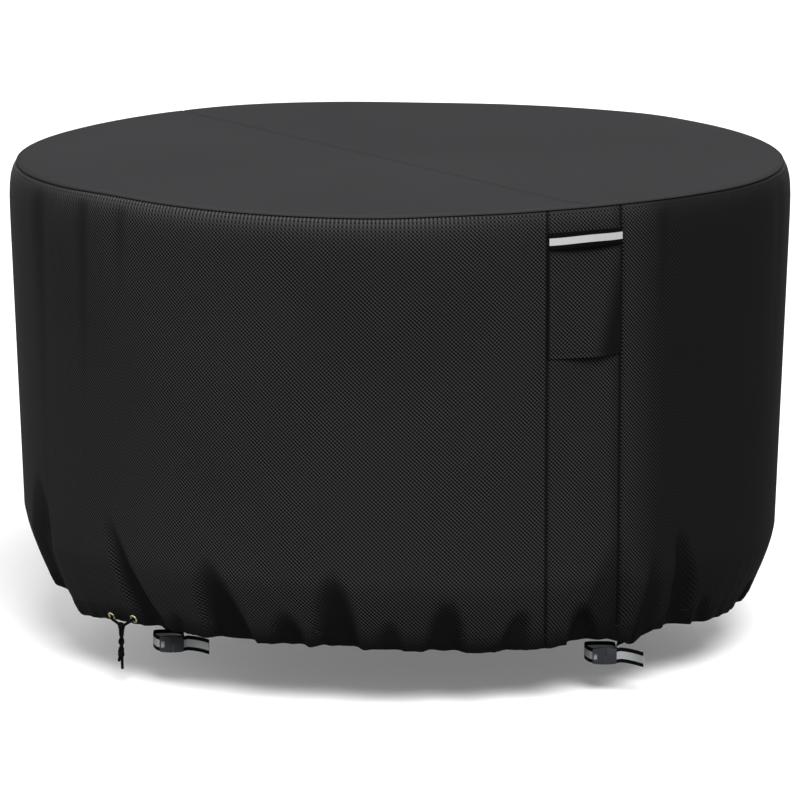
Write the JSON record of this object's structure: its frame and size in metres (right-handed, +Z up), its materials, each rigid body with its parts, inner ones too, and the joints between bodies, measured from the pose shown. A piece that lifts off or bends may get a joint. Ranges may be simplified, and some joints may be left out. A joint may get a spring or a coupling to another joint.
{
  "type": "patio furniture cover",
  "caption": "Round fitted cloth cover for patio furniture, with a flat top, a drawn-in hem, a flapped vent with a webbing handle, a knotted tie and buckled straps.",
  "frame": {"origin": "the middle of the underside of the flat top, where the cover rests on what it hides", "axes": "+Z up, -Y the front, +X to the right seen from the front"},
  "size_m": [1.2804, 1.2804, 0.7802],
  "materials": {
    "cover_cloth": "black coated cloth with a coarse woven face",
    "top_cloth": "charcoal coated cloth, smooth and matt",
    "webbing": "woven webbing, black edges and a pale grey middle",
    "buckle_plastic": "dark grey moulded plastic",
    "eyelet_brass": "bright pressed brass",
    "tie_cord": "black braided cord"
  },
  "bodies": {
    "root": {"top_panel_back": "top_cloth", "top_panel_front": "top_cloth", "wall_panel": "cover_cloth", "vent_strip": "cover_cloth", "vent_flap": "cover_cloth", "handle": "webbing", "eyelet_left": "eyelet_brass", "eyelet_right": "eyelet_brass", "cord_left_upper": "tie_cord", "cord_left_middle": "tie_cord", "cord_left_end": "tie_cord", "cord_right_upper": "tie_cord", "cord_right_middle": "tie_cord", "cord_right_end": "tie_cord", "knot_upper": "tie_cord", "knot_lower": "tie_cord", "strap_left": "webbing", "strap_right": "webbing", "strap_tape_left": "webbing", "strap_tape_right": "webbing", "buckle_socket_left": "buckle_plastic", "buckle_socket_right": "buckle_plastic", "buckle_clip_left": "buckle_plastic", "buckle_clip_right": "buckle_plastic"}
  },
  "joints": []
}
